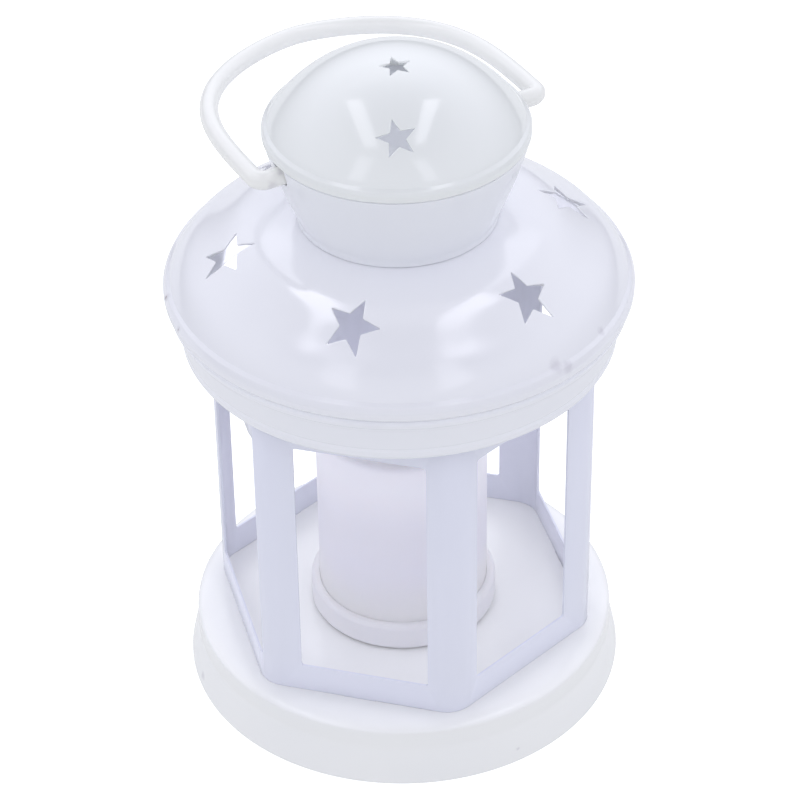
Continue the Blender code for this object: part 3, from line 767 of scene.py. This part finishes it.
rim += filleted([rim[-1], (23.42, 123.98, 0.35), (24.12, 123.55, 0.5), (24.5, 122.75, 0.6), (24.48, 121.8, 0.4), (24.2, 121.46, 0.2),
                 (22.5, 121.46, 0.2), (22.42, 123.4, 0.3), (22.38, float(dome_in(22.38)))], steps=6)[1:]
rim += [(r, float(dome_in(r))) for r in (22.1, R1)]
s.turn(rim, closed=False)
cap_dome = s.object("cap_dome_pressing")


def dome_normal(P):
    r = np.hypot(P[:, 0], P[:, 1])
    on = (np.abs(P[:, 2] - dome_out(r)) < 0.002) & (r < 22.9)
    return np.where(on[:, None], slope_normal(P[:, :2], dome_out), 0.0)


shaded(cap_dome, 38, dome_normal)
cap_dome.data.materials.append(cap_mat)
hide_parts("cap_dome")
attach(cap_dome, "upper")

# ---------------------------------------------------------------- bail
BAIL_A, BAIL_H, BEND, ROD = 29.27, 41.11, 1.9, 1.75
reach = side if side.dot(Vector((*polar(1.0, 15.2), 0.0))) < 0 else -side
tilt = math.radians(0.9)
rise = reach * math.cos(tilt) + Vector((0, 0, 1)) * math.sin(tilt)
half = [(19.6, 0.0), (19.62, 0.0), (19.75, 0.0), (20.4, 0.0), (20.6, 0.0), (20.72, 0.0), (22.0, 0.0), (24.6, 0.0), (BAIL_A - BEND - 0.6, 0.0)]
radii = [ROD * 0.9, ROD * 1.18, ROD * 1.3, ROD * 1.3, ROD * 1.2, ROD, ROD, ROD, ROD]
for k in range(1, 10):
    a = math.radians(90 * k / 10)
    half.append((BAIL_A - BEND + BEND * math.sin(a), BEND - BEND * math.cos(a)))
    radii.append(ROD)
for k in range(161):
    th = math.pi / 2 * (0.02 + 0.98 * (k / 160) ** 1.6)
    px, py = BAIL_A * abs(math.cos(th)) ** (2 / 1.64), BAIL_H * abs(math.sin(th)) ** (2 / 3.77)
    if py > BEND + 0.6 and (math.hypot(px - half[-1][0], py - half[-1][1]) > 0.55 or k == 160):
        half.append((px, py))
        radii.append(ROD)
path = [(x - 1.07, y) for x, y in half] + [(-x - 1.07, y) for x, y in half[-2::-1]]
s = swept(path, radii + radii[-2::-1], ax, rise, (0, 0, PIVOT_Z), 24)
bail = shaded(facing_out(s.object("bail_handle_rod", weld=False)), 40)
bail.data.materials.append(bail_lightened_mat)
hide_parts("bail_handle")
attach(bail, "handle")

# ---------------------------------------------------------------- candle
C0 = 12.95


def candle_plastic(name, light, dark, foot_shade=None, inner=None):
    """Satin wax-like plastic, painted in a warmer, darker shade towards its foot; inner is a faint painted glow near
    the top, standing in for light that reaches the wall.
    """
    m, nt, b = begin(name, IOR=1.46, Subsurface_Weight=0.12, Subsurface_Radius=(0.0022, 0.0018, 0.0016), Subsurface_Scale=1.0)
    co = nt.nodes.new("ShaderNodeTexCoord").outputs["Object"]
    col = blended(nt, ranged(nt, noise(nt, co, 55.0, 3.0), 0.3, 0.7, 0.0, 1.0), dark, light)
    # painted shade: a warmer, darker tone towards the foot
    if foot_shade:
        xyz = nt.nodes.new("ShaderNodeSeparateXYZ")
        nt.links.new(co, xyz.inputs[0])
        level = calc(nt, "ADD", xyz.outputs["Z"], calc(nt, "MULTIPLY", calc(nt, "SUBTRACT", noise(nt, co, 70.0, 2.0), 0.5), 0.006))
        fac = ranged(nt, level, foot_shade[0] * MM, foot_shade[1] * MM, 1.0, 0.0, smooth=True)
        col = blended(nt, fac, col, foot_shade[2])
    # painted light: a faint glow in the upper wall, though the candle is not lit
    if inner:
        up = nt.nodes.new("ShaderNodeSeparateXYZ")
        nt.links.new(co, up.inputs[0])
        b.inputs["Emission Color"].default_value = (0.97, 0.97, 1.0, 1.0)
        nt.links.new(ranged(nt, up.outputs["Z"], inner[0] * MM, inner[1] * MM, 0.0, inner[2], smooth=True), b.inputs["Emission Strength"])
    nt.links.new(col, b.inputs["Base Color"])
    nt.links.new(ranged(nt, noise(nt, co, 180.0, 2.0), 0.3, 0.7, 0.36, 0.5), b.inputs["Roughness"])
    bumped(nt, b, calc(nt, "ADD", calc(nt, "MULTIPLY", noise(nt, co, 90.0, 1.0), 3e-5), calc(nt, "MULTIPLY", noise(nt, co, 700.0, 2.0), 3e-6)))
    return m


# painted shade at the candle's foot, and painted light glowing near its top
shell_mat = candle_plastic("candle_shell_plastic", (0.930, 0.906, 0.980), (0.918, 0.894, 0.972), (16.0, 33.0, (0.918, 0.900, 0.880)), (38.0, 54.0, 0.11))
# the housing takes a warmer, greyer copy of the candle plastic: painted shade at the candle's foot
housing_shaded_mat = candle_plastic("candle_housing_plastic_shaded", (0.905, 0.890, 0.905), (0.892, 0.878, 0.892))
s = Solid()
dish = spline([(4.7, 53.9), (6.5, 53.92), (9.0, 54.1), (11.2, 54.45), (13.2, 55.1), (14.4, 55.65), (15.3, 55.93), (15.9, 55.97), (16.35, 55.8), (16.62, 55.45), (16.7, 55.0)], 4)
s.turn([(4.7, 53.1), (4.7, 53.75)] + dish + [(16.7, z) for z in (50.0, 44.0, 38.0, 32.0, 26.0, 20.0, 14.8)] +
       [(16.55, 14.5), (15.6, 14.5), (15.5, 14.7), (15.5, 22.3), (14.6, 22.4), (14.5, 22.5), (14.5, 23.1), (15.45, 23.8), (15.5, 54.2), (13.2, 53.75), (9.0, 52.95), (4.85, 52.9)], n=160)
candle_shell = shaded(s.object("candle_shell_moulding"))
candle_shell.data.materials.append(shell_mat)
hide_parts("candle_shell")
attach(candle_shell, "candle")

s = Solid()
s.turn(filleted([(16.74, 18.5, 0.04), (17.7, 18.42, 0.7), (18.4, 17.75, 0.8), (18.4, 13.5, 0.5), (18.1, C0, 0.35), (11.4, C0, 0.2),
                 (11.4, C0 + 1.2, 0.15), (16.74, C0 + 1.2, 0.3)], closed=True, steps=4), n=160)
housing = s.object("candle_housing_moulding")
cuts = [(0.0, -13.3, C0 + 0.6, 5.2, 2.0, 3.0, 0)]
for p in (125, 305):
    cuts.append((*polar(11.8, p), C0 + 0.6, 4.4, 2.8, 3.0, p))
boolean(housing, boxes("cuts", cuts))
shaded(housing)
housing.data.materials.append(housing_shaded_mat)
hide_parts("candle_housing")
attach(housing, "candle")

s = Solid()
D0 = C0 + 0.1
s.turn([(0.0, 15.15)] + filleted([(0.5, 15.15), (10.9, 15.15, 0.12), (11.0, 14.9, 0.15), (11.0, 13.3, 0.2), (10.8, D0, 0.15), (9.6, D0)], steps=4) +
       [(9.5, D0 + 0.25), (9.1, D0 + 0.25), (9.0, D0), (0.5, D0), (0.0, D0)], closed=False, n=120)
door = s.object("battery_door_moulding")
boolean(door, boxes("lugs", [(*polar(11.6, p), 14.8, 3.6, 2.2, 0.66, p) for p in (90, 270)]), "UNION")
boolean(door, boxes("slot", [(0, 0, D0, 12.0, 1.7, 1.5, 0)]))
shaded(door)
door.data.materials.append(candle_plastic("battery_door_plastic", (0.66, 0.65, 0.72), (0.64, 0.63, 0.70)))
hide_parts("battery_door")
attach(door, "door")

flame_mat = moulded("flame_diffuser", (0.95, 0.86, 0.66), (0.92, 0.80, 0.58), (0.3, 0.42), 300.0, 1.5e-5, Transmission_Weight=0.35,
                    IOR=1.45, Subsurface_Weight=0.3, Subsurface_Radius=(0.003, 0.002, 0.001), Subsurface_Scale=1.0)
s = Solid()
s.turn(spline([(0.0, 68.0), (0.28, 67.75), (0.6, 67.1), (1.2, 65.8), (1.75, 64.3), (2.3, 62.8), (2.95, 61.2), (3.5, 59.6), (3.95, 58.2), (4.2, 56.9), (4.29, 55.6), (4.3, 54.6), (4.3, 52.75)], 4) +
       [(4.35, 52.62), (5.8, 52.6), (6.0, 52.45), (6.0, 51.7), (5.9, 51.6), (3.4, 51.6), (3.3, 51.7)] +
       spline([(3.3, 52.5), (3.27, 54.5), (3.2, 56.4), (2.9, 57.6), (2.4, 58.5), (1.7, 59.2), (0.9, 59.55), (0.0, 59.7)], 3), closed=False, n=96)
flame = shaded(s.object("flame_tip_diffuser"))
flame.data.materials.append(flame_mat)
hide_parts("flame_tip")
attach(flame, "candle")

# ---------------------------------------------------------------- inside the candle
led_mat = moulded("led_epoxy", (0.97, 0.90, 0.70), (0.94, 0.85, 0.62), (0.08, 0.14), 200.0, 1e-6, Transmission_Weight=0.7, IOR=1.52)
s = Solid()
s.turn(spline([(0.0, 58.0), (0.6, 57.93), (1.15, 57.7), (1.7, 57.28), (2.1, 56.75), (2.38, 56.1), (2.49, 55.4), (2.5, 54.6), (2.5, 51.1)], 3) +
       [(2.55, 51.0), (2.85, 51.0), (2.9, 50.9), (2.9, 50.1), (2.8, 50.0), (0.0, 50.0)], closed=False, n=64)
led = shaded(s.object("led_lens"))
led.data.materials.append(led_mat)
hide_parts("led")
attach(led, "candle")

board_mat = moulded("board_mask", (0.06, 0.27, 0.12), (0.045, 0.22, 0.10), (0.3, 0.42), 900.0, 3e-6, Coat_Weight=0.3)
s = Solid()
s.turn([(0.0, 22.0), (7.0, 22.0), (14.9, 22.0), (15.1, 21.9), (15.1, 21.1), (14.9, 21.0), (0.0, 21.0)], closed=False, n=120)
board = shaded(s.object("circuit_board_disc"))
board.data.materials.append(board_mat)
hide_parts("circuit_board")
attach(board, "candle")

cell_mat = moulded("cell_steel", (0.74, 0.74, 0.76), (0.66, 0.66, 0.69), (0.2, 0.32), 1500.0, 2e-6, Metallic=1.0)
s = Solid()
s.turn([(0.0, 18.65)] + filleted([(0.4, 18.65), (8.5, 18.65, 0.1), (8.55, 18.4, 0.08), (9.6, 18.4, 0.2), (10.0, 18.1, 0.25), (10.0, 15.7, 0.25), (9.7, 15.45, 0.2), (0.4, 15.45)], steps=4) +
       [(0.0, 15.45)], closed=False, n=120)
cell = shaded(s.object("battery_cell"))
cell.data.materials.append(cell_mat)
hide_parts("battery")
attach(cell, "candle")

s = Solid()
s.turn(filleted([(10.35, 20.7, 0.1), (11.4, 20.7, 0.15), (11.4, 15.45, 0.15), (10.35, 15.45, 0.1)], closed=True, steps=3), n=120)
holder = s.object("battery_holder_ring")
boolean(holder, boxes("gap", [(0, 11.0, 18.0, 5.2, 4.0, 8.0, 0)]))
shaded(holder)
black_mat = moulded("black_moulding", (0.035, 0.035, 0.04), (0.025, 0.025, 0.03), (0.38, 0.5), 1200.0, 4e-6)
holder.data.materials.append(black_mat)
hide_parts("battery_holder")
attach(holder, "candle")

for name, sx, rgb, slot in (("lead_positive", 1, (0.55, 0.03, 0.03), "red_lead"), ("lead_negative", -1, (0.03, 0.03, 0.032), "black_lead")):
    knots = [(sx * 6.0, 2.0, 22.35), (sx * 6.4, 1.6, 28.0), (sx * 3.6, -0.6, 38.0), (sx * 1.3, 0.0, 45.5), (sx * 1.27, 0.0, 49.65)]
    cu = bpy.data.curves.new(name + "_wire", "CURVE")
    cu.dimensions = "3D"
    cu.bevel_depth = 0.5 * MM
    cu.bevel_resolution = 3
    cu.use_fill_caps = True
    pts = spline(knots, 8)
    sp = cu.splines.new("POLY")
    sp.points.add(len(pts) - 1)
    for p, c in zip(sp.points, pts):
        p.co = (c[0] * MM, c[1] * MM, c[2] * MM, 1)
    tmp = bpy.data.objects.new(name + "_tmp", cu)
    scene.collection.objects.link(tmp)
    dg = bpy.context.evaluated_depsgraph_get()
    me = bpy.data.meshes.new_from_object(tmp.evaluated_get(dg))
    bpy.data.objects.remove(tmp, do_unlink=True)
    bm = bmesh.new()
    bm.from_mesh(me)
    bmesh.ops.remove_doubles(bm, verts=bm.verts, dist=0.000001)
    bmesh.ops.recalc_face_normals(bm, faces=bm.faces)
    bm.to_mesh(me)
    bm.free()
    me.materials.clear()
    wire = bpy.data.objects.new(name + "_wire", me)
    scene.collection.objects.link(wire)
    shaded(wire, 50)
    wire.data.materials.append(moulded(slot + "_insulation", rgb, tuple(c * 0.8 for c in rgb), (0.4, 0.52), 900.0, 4e-6))
    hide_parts(name)
    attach(wire, "candle")

# CAD solids whose shape is kept: they only take a finish
spring_mat = moulded("spring_nickel", (0.80, 0.78, 0.72), (0.72, 0.70, 0.64), (0.22, 0.34), 1500.0, 2e-6, Metallic=1.0)
for name, mat in (("contact_negative", spring_mat), ("contact_positive", spring_mat), ("switch_body", black_mat),
                  ("switch_slider", black_mat)):
    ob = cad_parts[name]
    ob.data.materials.clear()
    ob.data.materials.append(mat)
    for p in ob.data.polygons:
        p.material_index = 0

# ---------------------------------------------------------------- floor
def ground(name, depth, near, far):
    """A pale floor whose glow falls off where the object stands on it, a painted contact shadow."""
    bm = bmesh.new()
    bmesh.ops.create_grid(bm, x_segments=2, y_segments=2, size=4.0)
    me = bpy.data.meshes.new(name)
    bm.to_mesh(me)
    bm.free()
    ob = bpy.data.objects.new(name, me)
    ob.location = (0, 0, -depth)
    scene.collection.objects.link(ob)
    fm, fnt, fb = begin(name, Roughness=0.9, Specular_IOR_Level=0.0)
    fb.inputs["Base Color"].default_value = (0.3, 0.3, 0.3, 1)
    fb.inputs["Emission Color"].default_value = (0.96, 0.98, 1.0, 1)
    fo = fnt.nodes.new("ShaderNodeTexCoord").outputs["Object"]
    fl = node(fnt, "ShaderNodeVectorMath", operation="LENGTH")
    fnt.links.new(fo, fl.inputs[0])
    # painted contact shadow: the glow is lower under the base's edge
    fnt.links.new(ranged(fnt, fl.outputs["Value"], 0.0385, 0.0435, near, far), fb.inputs["Emission Strength"])
    me.materials.append(fm)
    return ob


# the floor that is seen, and a dimmer one under it that lights the object
# the seen floor's glow dips by the base: a painted contact shadow
seen = ground("floor_seen", 0.00005, 0.3, 1.1)
seen.visible_diffuse = seen.visible_glossy = seen.visible_transmission = seen.visible_shadow = False
lit_floor = ground("floor_light", 0.0002, 0.15, FLOOR)
lit_floor.visible_camera = False

# ---------------------------------------------------------------- soft studio light
world = scene.world or bpy.data.worlds.new("studio")
scene.world = world
world.use_nodes = True
wt = world.node_tree
wt.nodes.clear()
out = wt.nodes.new("ShaderNodeOutputWorld")
bg = wt.nodes.new("ShaderNodeBackground")
wt.links.new(bg.outputs[0], out.inputs[0])
gen = wt.nodes.new("ShaderNodeTexCoord").outputs["Generated"]
A = math.radians(CAM_AZ)
# soft light that comes mostly from low all around, and a little more from behind the object
sep = wt.nodes.new("ShaderNodeSeparateXYZ")
wt.links.new(gen, sep.inputs[0])
high = calc(wt, "MAXIMUM", sep.outputs["Z"], 0.0)


def banded(table):
    total = None
    for at, level in table:
        away = calc(wt, "DIVIDE", calc(wt, "ABSOLUTE", calc(wt, "SUBTRACT", high, at)), 0.25)
        v = calc(wt, "MULTIPLY", calc(wt, "MAXIMUM", calc(wt, "SUBTRACT", 1.0, away), 0.0), level)
        total = v if total is None else calc(wt, "ADD", total, v)
    return total


plan = node(wt, "ShaderNodeVectorMath", operation="MULTIPLY")
wt.links.new(gen, plan.inputs[0])
plan.inputs[1].default_value = (1, 1, 0)
flat = node(wt, "ShaderNodeVectorMath", operation="NORMALIZE")
wt.links.new(plan.outputs[0], flat.inputs[0])
dot = node(wt, "ShaderNodeVectorMath", operation="DOT_PRODUCT")
wt.links.new(flat.outputs[0], dot.inputs[0])
dot.inputs[1].default_value = (-math.sin(A), math.cos(A), 0.0)
rear = calc(wt, "MULTIPLY", calc(wt, "ADD", dot.outputs["Value"], 1.0), 0.5)
lev = calc(wt, "ADD", banded(AROUND), calc(wt, "MULTIPLY", banded(BEHIND), rear))
wt.links.new(lev, bg.inputs["Strength"])
bg.inputs["Color"].default_value = (0.91, 0.922, 1.0, 1)


def from_camera(x, y):
    """A direction in plan, given to the camera's right and away from it, in the frame's own axes."""
    return x * math.cos(A) - y * math.sin(A), x * math.sin(A) + y * math.cos(A)


def lamp(name, co, radiance, receivers):
    """A soft light of any outline that the camera doesn't see and that lights some pieces only."""
    me = bpy.data.meshes.new(name)
    me.from_pydata(co, [], [tuple(range(len(co)))])
    ob = bpy.data.objects.new(name, me)
    scene.collection.objects.link(ob)
    m = bpy.data.materials.new(name)
    m.use_nodes = True
    nt = m.node_tree
    nt.nodes.clear()
    o = nt.nodes.new("ShaderNodeOutputMaterial")
    e = nt.nodes.new("ShaderNodeEmission")
    e.inputs["Strength"].default_value = radiance
    e.inputs["Color"].default_value = (0.93, 0.93, 1.0, 1)
    # a ray goes on through it, so that one light never hides another
    t = nt.nodes.new("ShaderNodeBsdfTransparent")
    both = nt.nodes.new("ShaderNodeAddShader")
    nt.links.new(e.outputs[0], both.inputs[0])
    nt.links.new(t.outputs[0], both.inputs[1])
    nt.links.new(both.outputs[0], o.inputs[0])
    me.materials.append(m)
    ob.visible_camera = False
    ob.visible_transmission = False
    ob.visible_shadow = False
    c = bpy.data.collections.new(name + "_lit")
    for r in receivers:
        c.objects.link(r)
    ob.light_linking.receiver_collection = c
    return ob


def strip(name, corners, radiance, receivers, height=1.5, z0=0.1):
    """A soft strip light seen only in reflections: its corners are (right, away) per unit of height above the lantern."""
    co = []
    for x, y in corners:
        px, py = from_camera(x * height, y * height)
        co.append((px, py, height + z0))
    ob = lamp(name, co, radiance, receivers)
    ob.visible_diffuse = False
    return ob


low = [base_pan, hex_frame, roof_skirt, chimney_cup, bail, candle_shell, housing, cap_dome]
strip("softbox_dome_UL", [(-.606, .44), (-.38, .33), (-.25, -.46), (-.45, -.42)], 2.9, low)
strip("softbox_dome_UR", [(.30, .28), (.515, .38), (.373, -.38), (.235, -.42)], 3.4, low)
strip("softbox_dome_LL", [(-.58, -.53), (-.33, -.60), (-.72, -1.10), (-1.04, -1.0)], 1.6, low)
strip("softbox_dome_LR", [(.22, -.64), (.44, -.62), (.86, -1.05), (.58, -1.15)], 1.6, low)
strip("softbox_roof_UL", [(-.57, .43), (-.25, .60), (-.305, -.13), (-.55, -.08)], 5.0, [roof_shell], 1.6)
strip("softbox_roof_UR", [(.339, .423), (.62, .15), (.41, -.145), (.225, -.215)], 4.8, [roof_shell], 1.62)
strip("softbox_roof_LL", [(-.40, -.20), (-.23, -.26), (-.55, -1.35), (-.93, -1.08)], 1.6, [roof_shell], 1.64)
strip("softbox_roof_LR", [(.18, -.26), (.30, -.22), (.80, -1.02), (.50, -1.42)], 1.6, [roof_shell], 1.66)
strip("softbox_roof_mid", [(-.50, 1.40), (.60, 1.30), (.22, -.20), (-.26, -.22)], 1.0, [roof_shell], 1.68)

# daylight that reaches the inside: onto the floor, and inside the cap
ring = [polar(24.0, 15.0 * i) for i in range(24)]
over_floor = lamp("lamp_floor", [(x * MM, y * MM, 76.0 * MM) for x, y in ring], 2.1, [base_pan])
over_floor.visible_glossy = False
under_cap = lamp("lamp_cap", [(x * MM / 3, y * MM / 3, 121.0 * MM) for x, y in ring], 2.5, [cap_dome, chimney_cup])
under_cap.visible_glossy = False
# and between the roof and the skirt, where two of the stars look through
for what, r, corners, level in (("left", 39.55, ((254, 78.0), (239, 78.0), (239, 84.5), (248, 84.5)), 1.2), ("right", 41.2, ((138, 86.0), (155, 86.0), (155, 90.0), (138, 90.0)), 0.62)):
    eave = lamp("lamp_eave_" + what, [(*[v * MM for v in polar(r, f)], z * MM) for f, z in corners], level, [roof_skirt, roof_shell])
    eave.visible_glossy = False

scene.view_settings.view_transform = "Standard"
scene.view_settings.look = "None"

# ---------------------------------------------------------------- camera
E, D, ROLL = 0.6520313, 0.60243085, -0.01511471
cam = bpy.data.cameras.new("camera")
cam_ob = bpy.data.objects.new("camera", cam)
scene.collection.objects.link(cam_ob)
back = Vector((math.sin(A) * math.cos(E), -math.cos(A) * math.cos(E), math.sin(E)))
right = Vector((math.cos(A), math.sin(A), 0.0))
upv = right.cross(-back)
c, sn = math.cos(ROLL), math.sin(ROLL)
X, Y = right * c + upv * sn, right * -sn + upv * c
m = Matrix((X, Y, back)).transposed().to_4x4()
m.translation = Vector((0, 0, 0.055)) + back * D
cam_ob.matrix_world = m
cam.sensor_fit = "HORIZONTAL"
cam.sensor_width = 36.0
cam.lens = 140.182
cam.shift_x = -0.001395
cam.shift_y = 0.028348
cam.clip_start, cam.clip_end = 0.01, 20.0
scene.camera = cam_ob

bpy.context.view_layer.update()
